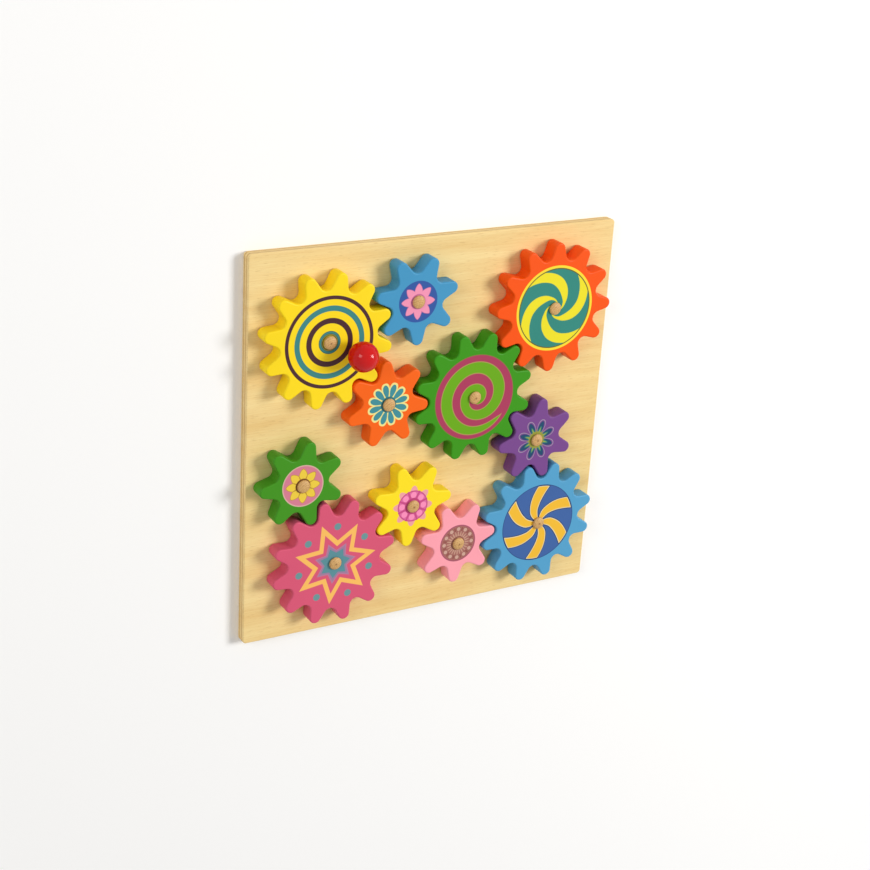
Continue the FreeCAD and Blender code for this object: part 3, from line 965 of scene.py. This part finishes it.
        tip_share = put(tree, MATH, step, self.tip_steps, operation="DIVIDE")
        tip_share = put(tree, MATH, tip_share, 1, operation="MINIMUM")
        hollow_share = put(tree, MATH, step, self.tip_steps + 1, operation="SUBTRACT")
        hollow_share = put(tree, MATH, hollow_share, self.hollow_steps, operation="DIVIDE")
        hollow_share = put(tree, MATH, hollow_share, 0, operation="MAXIMUM")
        turn_back = put(tree, MATH, half_pitch, flank, operation="SUBTRACT")
        turn_back = put(tree, MATH, turn_back, hollow_share, operation="MULTIPLY")
        normal_angle = put(tree, MATH, flank, tip_share, turn_back, operation="MULTIPLY_ADD")
        normal = put(tree, ROTATE, (1, 0, 0), None, normal_angle, rotation_type="Z_AXIS")
        in_hollow = put(tree, MATH, step, self.tip_steps + HALF_STEP, operation="GREATER_THAN")
        reach = put(tree, MATH, in_hollow, rounds, operation="MULTIPLY")
        reach = put(tree, MATH, given["Tip Round"], reach, operation="SUBTRACT")
        reach = put(tree, MATH, reach, inset, operation="SUBTRACT")
        arc_centre = put(tree, MIX, in_hollow, tip_centre, hollow_centre, data_type="VECTOR")
        out = put(tree, VECTOR_MATH, normal, named={"Scale": reach}, operation="SCALE")
        point = put(tree, VECTOR_MATH, arc_centre, out, operation="ADD")

        side = put(tree, MATH, leaving_tip, 2, -1, operation="MULTIPLY_ADD")
        mirror = put(tree, "ShaderNodeCombineXYZ", 1.0, side, 1.0)
        point = put(tree, VECTOR_MATH, point, mirror, operation="MULTIPLY")
        tooth_number = put(tree, MATH, tooth, leaving_tip, operation="SUBTRACT")
        tooth_number = put(tree, MATH, tooth_number, 1, operation="ADD")
        pitch = put(tree, MATH, half_pitch, 2, operation="MULTIPLY")
        turn = put(tree, MATH, tooth_number, pitch, given["Heading"], operation="MULTIPLY_ADD")
        return put(tree, ROTATE, point, None, turn, rotation_type="Z_AXIS")


@dataclass(frozen=True)
class Gear:
    """One painted toothed disc, fitted to its CAD node."""

    body: str
    teeth: Teeth
    slot: Paint
    finish: SatinEnamel
    shape: ToothShape = ToothShape()
    crown_share: float = 0.25

    @classmethod
    def printed(
        cls, body: str, teeth: Teeth, slot: Paint, enamel: str, colour: str, *motifs: Motif
    ) -> "Gear":
        """Describes a gear by its enamel and its prints.

        Args:
            body: the gear's body, named as its CAD node.
            teeth: which size it is.
            slot: the record's paint slot.
            enamel: what its enamel is called.
            colour: the enamel's colour.
            motifs: the prints, from the lowest ink up.

        Returns:
            The gear.
        """
        return cls(body, teeth, slot, SatinEnamel(enamel, colour, motifs))

    def centre(self) -> Vector:
        """Finds the gear's axle.

        Returns:
            Its place at the disc's underside, in metres.
        """
        joint = next(j for j in frame["joints"] if j["child"] == self.body)
        x, y, _ = joint["pos_m"]
        return Vector((x, y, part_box(self.body)[0].z))

    def outermost(self, centre: Vector) -> Pair:
        """Measures the CAD disc.

        Args:
            centre: the gear's axle.

        Returns:
            The tip radius in metres, and the heading of a tooth in radians.
        """
        points = [v.co - centre for v in frame["nodes"][self.body].data.vertices]
        tip = max(p.xy.length for p in points)
        crown = self.crown_share * self.shape.tip_round * MM
        tips = [p for p in points if p.xy.length > tip - crown]
        count = self.teeth.value
        east = sum(math.cos(count * math.atan2(p.y, p.x)) for p in tips)
        north = sum(math.sin(count * math.atan2(p.y, p.x)) for p in tips)
        return tip, math.atan2(north, east) / count

    def build(self, tree: bpy.types.NodeTree) -> bpy.types.Object:
        """Makes the disc in place, paints it and hangs it on its body.

        Args:
            tree: the toothed disc's node tree.

        Returns:
            The finished piece.
        """
        centre = self.centre()
        low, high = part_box(self.body)
        tip, heading = self.outermost(centre)
        shape = self.shape
        sizes = {
            "Teeth": self.teeth.value,
            "Tip Radius": tip,
            "Tooth Height": shape.height * MM,
            "Tip Round": shape.tip_round * MM,
            "Hollow Round": shape.hollow_round * MM,
            "Rim Round": shape.rim_round * MM,
            "Bore Radius": shape.bore * MM,
            "Thickness": high.z - low.z,
            "Heading": heading,
            "Centre": tuple(centre),
            "Paint": self.finish.material(centre, high.z - shape.rim_round * MM),
        }
        blank = new_piece(f"{self.body}_painted", bpy.data.meshes.new(self.body))
        piece = grown(blank, tree, sizes)
        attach(piece, self.body)
        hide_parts(self.body)
        return piece


# The curves of the prints: headings in degrees and widths in millimetres by radius, and the
# spiral's two edges as radii by the degrees that the arm has wound.
SWIRL_HEADING = Graph(
    ((5, 160), (6.5, 182), (8, 198.5), (10, 218), (12, 230), (15, 243.5), (20, 262.5), (30.8, 308))
)
SWIRL_WIDTH = Graph(
    ((5, 0.9), (8, 3.1), (10, 5.4), (12, 7.4), (15, 9.7), (20, 13.1), (25, 16.4), (30.8, 16.6))
)
VANE_HEADING = Graph(((5, 118), (9, 116.5), (16, 105.5), (24, 93.5), (31.2, 84.5)))
VANE_WIDTH = Graph(((5, 3.8), (9, 6.2), (16, 8.8), (24, 10.6), (31.4, 10.8)))
VANE_FILL = Graph(((5, 2.8), (9, 5.0), (16, 7.5), (24, 9.3), (30.9, 9.5)))
ARM_TIGHT_TURN = ((0, 4), (60, 8.3), (90, 9.5), (120, 10.1), (210, 10.4), (270, 11.4), (300, 12.7))
ARM_WIDE_TURN = ((345, 16.2), (450, 25.2), (480, 26.7), (510, 27.4), (600, 27.8), (660, 28.4))
ARM_OUTER = Graph((*ARM_TIGHT_TURN, *ARM_WIDE_TURN, (720, 29.6), (770, 29.5), (785, 27.0)))
ARM_START = ((0, 3), (285, 4.6), (330, 7.6), (360, 10.2), (405, 13.5), (450, 16.3), (510, 18.8))
ARM_END = ((540, 19.4), (600, 19.2), (630, 19.4), (660, 20.1), (720, 23.8), (750, 26.0))
# Past its tail the arm's inner edge lies outside its outer one, so that nothing is drawn there.
ARM_INNER = Graph((*ARM_START, *ARM_END, (765, 27.6), (775, 29.9), (785, 32.0)))


def gear_list() -> tuple[Gear, ...]:
    """Lists the eleven gears with their paints and prints.

    Returns:
        The gears, the crank gear first.
    """
    large, small = Teeth.LARGE, Teeth.SMALL
    teal, brown = "#3A8484", "#46242A"
    return (
        Gear.printed(
            "yellow_crank_gear", large, Paint.YELLOW, "yellow_satin_enamel_ringed", "#FFDD1A",
            Ring("#6E6A2C", 5.0, 6.0),
            Ring("#2B5650", 6.1, 8.5),
            Ring(teal, 6.6, 8.1),
            Ring(brown, 14, 18),
            Ring(teal, 23, 27),
            Ring(brown, 31.5, 34.2),
        ),
        Gear.printed(
            "blue_small_gear", small, Paint.DEEP_BLUE, "deep_blue_satin_enamel_flowered", "#4496C2",
            Ring("#31569E", 0, 15.5),
            Petals("#C9749E", 8, 270, 3, 13.6, 6.8, 0.4, 0.7),
            Petals("#F496B6", 8, 270, 3, 13.2, 6.0, 0.4, 0.7),
            Ring("#C9749E", 4.9, 5.8),
        ),
        Gear.printed(
            "orange_small_gear", small, Paint.ORANGE, "orange_satin_enamel_daisy", "#FA660E",
            Petals("#F4E78E", 12, 13, 3, 17, 6.6, 0.9, 0.4),
            Petals("#418E98", 12, 13, 3, 15.6, 4.7, 1.3, 0.6),
            Ring("#37777C", 0, 6.2),
        ),
        Gear.printed(
            "green_large_gear", large, Paint.GREEN, "green_satin_enamel_spiral", "#38920A",
            Ring("#AA3A5A", 0, 33.2, line="#84703A", line_width=0.5),
            SpiralArm("#69A80E", -90, ARM_INNER, ARM_OUTER, 3, line="#AE9654", line_width=0.65),
        ),
        Gear.printed(
            "orange_large_gear", large, Paint.ORANGE, "orange_satin_enamel_swirl", "#F85400",
            Ring("#F9DC34", 0, 33.3),
            Ring("#2F8579", 0, 30.9),
            Blades("#EFE026", 4, SWIRL_HEADING, SWIRL_WIDTH, line="#92B05C"),
            Ring("#5C5A2A", 30.5, 31.3),
        ),
        Gear.printed(
            "purple_small_gear", small, Paint.PURPLE, "purple_satin_enamel_flowered", "#77468A",
            Petals("#A596AA", 8, 25.6, 3, 17.0, 6.6, 0.9, 0.5),
            Petals("#77468A", 8, 25.6, 3, 16.4, 5.7, 0.9, 0.5),
            Petals("#1B4568", 8, 25.6, 3, 15.6, 4.7, 0.8, 0.6),
            Petals("#2F7E6A", 8, 25.6, 3, 11.6, 3.4, 0.3, 0.8),
            Petals("#A8AC3A", 8, 25.6, 3, 10.6, 1.3, 0.2, 0.9),
            Petals("#8E9A3C", 8, 3.1, 3, 9.2, 1.5, 0.2, 0.9),
            Ring("#97973A", 0, 6.9),
        ),
        Gear.printed(
            "blue_large_gear", large, Paint.SKY_BLUE, "sky_blue_satin_enamel_pinwheel", "#54A0CA",
            Ring("#2A4A80", 0, 32.5),
            Ring("#3D62A0", 0, 31.9),
            Blades("#E9DCB0", 6, VANE_HEADING, VANE_WIDTH, line="#22325E", line_width=0.7),
            Blades("#F3BC34", 6, VANE_HEADING, VANE_FILL),
        ),
        Gear.printed(
            "pink_small_gear", small, Paint.PINK, "pink_satin_enamel_rosette", "#FFA4B0",
            Ring("#A8566A", 0, 15.5),
            Ring("#A5685F", 0, 14.5),
            Petals("#8C4F48", 12, 15, 5, 13.6, 1.2, 0.2, 0.2),
            Petals("#C59884", 24, 0, 4, 10.4, 1.2, 0.3, 0.5),
            Dots("#8C4F48", 12, 0, 12.0, 2.0),
            Dots("#CFA594", 12, 0, 12.0, 1.6),
            Ring("#8E5444", 5.0, 5.9),
        ),
        Gear.printed(
            "yellow_small_gear", small, Paint.YELLOW, "yellow_satin_enamel_dotted", "#FFE220",
            Petals("#F3A4A4", 8, 42.5, 8, 16.6, 6.8, 0.2, 0.5),
            Ring("#CC4C86", 0, 12.7),
            Ring("#E070A4", 0, 11.8),
            Petals("#CC4C86", 8, 20, 5, 13, 1.6, 0.1, 0.1),
            Dots("#FF92BE", 8, 42.5, 9.1, 2.4),
            Ring("#BE4478", 5.0, 6.6),
        ),
        Gear.printed(
            "magenta_large_gear", large, Paint.MAGENTA, "magenta_satin_enamel_star", "#DB5876",
            Dots("#6C9698", 7, 35.8, 29.5, 2.8),
            Star("#FDC062", 7, 7, 33.9, 18.2),
            Star("#DB5876", 7, 7, 33.9, 18.2, 3.5),
            Star("#B4809E", 7, 7, 17.2, 10.4),
            Star("#A07C9C", 7, 7, 15.4, 9.6),
            Star("#5A8F98", 7, 7, 12.6, 8.4),
        ),
        Gear.printed(
            "green_small_gear", small, Paint.GREEN, "green_satin_enamel_flowered", "#3F9016",
            Ring("#DDB4A4", 0, 16.2),
            Ring("#D67E92", 0, 15.4),
            Petals("#B98A30", 8, 0, 3, 13.6, 7.4, 0.3, 0.6),
            Petals("#F0CE42", 8, 0, 3, 13.1, 6.6, 0.3, 0.6),
            Petals("#B98A30", 8, 22.5, 3, 9.2, 0.9, 0.1, 0.4),
            # The brown ring just outside the peg head is a painted shadow of the head, not a print.
            Ring("#84552A", 0, 5.8),
        ),
    )


@dataclass(frozen=True)
class GearTrain:
    """The eleven gears, all drawn by one node tree."""

    gears: tuple[Gear, ...]

    def build(self) -> list[bpy.types.Object]:
        """Makes every gear.

        Returns:
            The painted gears.
        """
        trees = {shape: shape.tree() for shape in {gear.shape for gear in self.gears}}
        return [gear.build(trees[gear.shape]) for gear in self.gears]


# ---------------------------------------------------------------- pegs, crank and board


@dataclass(frozen=True)
class Pegs:
    """The eleven turned axle pegs, glued in the board."""

    shaft: float = 2.9
    head: float = 4.9
    head_height: float = 2.4
    rim: float = 0.7
    foot_chamfer: float = 0.5
    under_round: float = 0.25
    crease: float = 0.05
    dome_steps: int = 10
    columns: int = 40
    seed: int = 4
    finish: TurnedEndGrain = TurnedEndGrain()

    def profile(self, foot: float, top: float) -> list[Pair]:
        """Draws a peg's half section.

        Args:
            foot: the height of the shaft's lower end.
            top: the height of the head's crown.

        Returns:
            (radius, height) points from the foot to the crown.
        """
        under = top - self.head_height
        dome = top - under - self.rim
        quarter = [math.pi / 2 * i / self.dome_steps for i in range(self.dome_steps + 1)]
        crown = [(self.head * math.cos(a), under + self.rim + dome * math.sin(a)) for a in quarter]
        return [
            (0, foot),
            (self.shaft - self.foot_chamfer, foot),
            (self.shaft, foot + self.foot_chamfer),
            (self.shaft, under - self.crease),
            (self.shaft, under),
            (self.shaft + self.crease, under),
            (self.head - self.under_round, under),
            (self.head, under + self.under_round),
            *crown[:-1],
            (0, top),
        ]

    def tree(self) -> bpy.types.NodeTree:
        """Builds the node tree that sets one turned peg on every point of a mesh.

        Returns:
            The tree. Its seed turns each peg differently about its axis.
        """
        kinds = {"Geometry": "Geometry", "Peg": "Object", "Seed": "Int", "Wood": "Material"}
        tree, given = node_tree("pegs_on_axles", kinds)
        seed = {"Seed": given["Seed"]}
        peg = put(tree, "GeometryNodeObjectInfo", given["Peg"])
        spin = put(tree, "FunctionNodeRandomValue", 0.0, math.tau, named=seed, data_type="FLOAT")
        about_z = put(tree, "ShaderNodeCombineXYZ", 0.0, 0.0, spin)
        turned_peg = {"Instance": peg.outputs["Geometry"], "Rotation": about_z}
        copies = put(tree, "GeometryNodeInstanceOnPoints", given["Geometry"], named=turned_peg)
        chance = put(tree, "FunctionNodeRandomValue", 0.0, 1.0, named=seed, data_type="FLOAT")
        kept = put(
            tree,
            "GeometryNodeStoreNamedAttribute",
            copies,
            None,
            self.finish.chance_attribute,
            chance,
            data_type="FLOAT",
            domain="INSTANCE",
        )
        real = put(tree, "GeometryNodeRealizeInstances", kept)
        dressed = put(tree, "GeometryNodeSetMaterial", real, None, given["Wood"])
        put(tree, "NodeGroupOutput", dressed)
        return tree

    def build(self) -> list[bpy.types.Object]:
        """Makes all the pegs as one piece of the board.

        Returns:
            The one piece.
        """
        nodes = sorted(n for n in frame["nodes"] if n.endswith("_peg"))
        boxes = [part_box(n) for n in nodes]
        foot, top = boxes[0][0].z / MM, boxes[0][1].z / MM
        places = bpy.data.meshes.new("peg_places")
        places.from_pydata([((a.x + b.x) / 2, (a.y + b.y) / 2, 0) for a, b in boxes], [], [])
        pattern = new_piece("peg_pattern", turned("peg_pattern", self.profile(foot, top), self.columns))
        place = pattern.data.attributes.new(self.finish.place_attribute, "FLOAT_VECTOR", "POINT")
        place.data.foreach_set("vector", [c for v in pattern.data.vertices for c in v.co])
        sizes = {"Peg": pattern, "Seed": self.seed, "Wood": self.finish.material()}
        piece = grown(new_piece("axle_pegs", places), self.tree(), sizes)
        bpy.data.objects.remove(pattern)
        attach(piece, "board")
        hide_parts(*nodes)
        return [piece]


@dataclass(frozen=True)
class Crank:
    """The ball knob and the dowel that carries it."""

    columns: int = 72
    rows: int = 40
    seat_round: float = 0.3
    lacquer: GlossLacquer = GlossLacquer()
    dowel_wood: BareWood = BareWood(
        name="turned_beech_dowel",
        pale="#E3B98C",
        dark="#CDA070",
        fleck="#A06F45",
        streak=(1.5, 1.5, 20.0),
        fibre=(0.4, 0.4, 6.0),
        pore=(0.3, 0.3, 2.0),
    )

    def build(self) -> list[bpy.types.Object]:
        """Makes the ball, fitted to its CAD node, and gives the dowel its wood.

        Returns:
            The ball and the dowel.
        """
        low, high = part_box("crank_knob")
        radius = (high.x - low.x) / 2 / MM
        middle = high.z / MM - radius
        seat = low.z / MM
        start = math.asin((seat - middle) / radius)
        angles = [start + (math.pi / 2 - start) * i / self.rows for i in range(self.rows + 1)]
        seat_radius = radius * math.cos(start)
        ball = [(radius * math.cos(a), middle + radius * math.sin(a)) for a in angles]
        profile = [(0, seat), (seat_radius - self.seat_round, seat), *ball[:-1], (0, high.z / MM)]
        mesh = turned("crank_knob_ball", profile, self.columns)
        mesh.transform(Matrix.Translation(((low.x + high.x) / 2, (low.y + high.y) / 2, 0)))
        mesh.materials.append(self.lacquer.material())
        piece = new_piece("crank_knob_lacquered", mesh)
        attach(piece, "yellow_crank_gear")
        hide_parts("crank_knob")
        dowel = frame["nodes"]["knob_dowel"]
        dress(dowel, self.dowel_wood.material())
        return [piece, dowel]


@dataclass(frozen=True)
class Board:
    """The square plywood board that carries everything."""

    finish: BareWood = BareWood(
        name="sanded_birch_plywood",
        pale="#F6DB9A",
        dark="#E8C27C",
        fleck="#BF9252",
        streak=(160.0, 9.0, 30.0),
        fibre=(24.0, 0.9, 0.9),
        pore=(7.0, 0.5, 0.5),
        ply=1.8,
    )

    def build(self) -> list[bpy.types.Object]:
        """Gives the CAD board its wood.

        Returns:
            The board.
        """
        board = frame["nodes"]["base_board"]
        dress(board, self.finish.material())
        return [board]


# ---------------------------------------------------------------- studio


def background_rays(tree: bpy.types.NodeTree) -> bpy.types.Node:
    """Finds the rays that see the white background.

    Args:
        tree: the material's or the world's node tree.

    Returns:
        The node that gives 1 for the camera's own rays, and for those off a gloss or through glass.
    """
    rays = put(tree, "ShaderNodeLightPath").outputs
    seen = put(tree, MATH, rays["Is Camera Ray"], rays["Is Glossy Ray"], operation="MAXIMUM")
    return put(tree, MATH, seen, rays["Is Transmission Ray"], operation="MAXIMUM")


@dataclass(frozen=True)
class Lamp:
    """A square soft box that points at the toy."""

    name: str
    place: Triple
    side: float
    watts: float

    def build(self) -> None:
        """Hangs the lamp."""
        light = bpy.data.lights.new(self.name, "AREA")
        light.size = self.side * MM
        light.energy = self.watts
        lamp = bpy.data.objects.new(self.name, light)
        lamp.location = Vector(self.place) * MM
        lamp.rotation_euler = (-Vector(self.place)).to_track_quat("-Z", "Y").to_euler()
        bpy.context.scene.collection.objects.link(lamp)


@dataclass(frozen=True)
class Studio:
    """A pale floor, soft light and the camera."""

    floor_side: float = 12000.0
    lit_floor: float = 380.0
    white_floor: float = 1100.0
    floor_drop: float = 0.2
    floor_colour: str = "#FFFEFC"
    floor_roughness: float = 0.9
    world_strength: float = 0.42
    lamps: tuple[Lamp, ...] = (
        Lamp("key_soft_box", (1780, 650, 2050), 950, 52.0),
        Lamp("front_fill", (-2300, 1300, 1600), 1100, 20.0),
    )
    eye: Triple = (-586.4, 478.0, 1016.6)
    aim: Triple = (-4.0, 1.5, 22.5)
    up: Triple = (0.140, 0.922, -0.360)
    lens: float = 69.62
    sensor: float = 36.0

    def build(self) -> None:
        """Makes the floor, the world, the lamps and the camera."""
        self.build_floor()
        self.build_world()
        for lamp in self.lamps:
            lamp.build()
        self.build_camera()
        bpy.context.scene.view_settings.view_transform = "Standard"

    def build_floor(self) -> None:
        """Lays the floor just under the board."""
        half, z = self.floor_side * MM / 2, -self.floor_drop * MM
        mesh = bpy.data.meshes.new("floor")
        corners = [(-half, -half, z), (half, -half, z), (half, half, z), (-half, half, z)]
        mesh.from_pydata(corners, [], [(0, 1, 2, 3)])
        # Matt paper backdrop: an even white that carries the toy's shadow and runs out to pure
        # white, so that no horizon shows.
        material, tree = blank_material("matt_white_paper")
        matt = {"Roughness": self.floor_roughness}
        paper = put(tree, "ShaderNodeBsdfPrincipled", linear(self.floor_colour), named=matt)
        white = put(tree, "ShaderNodeEmission", WHITE, 1.0)
        place = put(tree, "ShaderNodeTexCoord").outputs["Object"]
        distance = put(tree, VECTOR_MATH, place, operation="LENGTH")
        span = (self.lit_floor * MM, self.white_floor * MM)
        far = put(tree, MAP_RANGE, distance, *span, interpolation_type="SMOOTHSTEP")
        far_and_seen = put(tree, MATH, far, background_rays(tree), operation="MULTIPLY")
        both = put(tree, "ShaderNodeMixShader", far_and_seen, paper, white)
        put(tree, "ShaderNodeOutputMaterial", both)
        mesh.materials.append(material)
        new_piece("floor", mesh)

    def build_world(self) -> None:
        """Sets an even grey light that looks white to the camera and in reflections."""
        world = bpy.data.worlds.new("soft_white_room")
        world.use_nodes = True
        tree = world.node_tree
        tree.nodes.clear()
        light = put(tree, "ShaderNodeBackground", WHITE, self.world_strength)
        white = put(tree, "ShaderNodeBackground", WHITE, 1.0)
        both = put(tree, "ShaderNodeMixShader", background_rays(tree), light, white)
        put(tree, "ShaderNodeOutputWorld", both)
        bpy.context.scene.world = world

    def build_camera(self) -> None:
        """Sets up the camera by where it stands, what it looks at and which way is up."""
        forward = (Vector(self.aim) - Vector(self.eye)).normalized()
        right = forward.cross(Vector(self.up)).normalized()
        turn = Matrix((right, right.cross(forward), -forward)).transposed().to_4x4()
        data = bpy.data.cameras.new("camera")
        data.lens = self.lens
        data.sensor_width = self.sensor
        camera = bpy.data.objects.new("camera", data)
        camera.matrix_world = Matrix.Translation(Vector(self.eye) * MM) @ turn
        bpy.context.scene.collection.objects.link(camera)
        bpy.context.scene.camera = camera


def main() -> None:
    """Builds the toy's sub-assemblies and the studio."""
    logging.basicConfig(level=logging.INFO, format="%(name)s: %(message)s")
    for assembly in (Board(), Pegs(), GearTrain(gear_list()), Crank()):
        for piece in assembly.build():
            log.info("%s: %s, %d faces", type(assembly).__name__, piece.name, len(piece.data.polygons))
    studio = Studio()
    studio.build()
    log.info("Studio: floor, camera and %d lamps", len(studio.lamps))


if __name__ == "__main__":
    main()
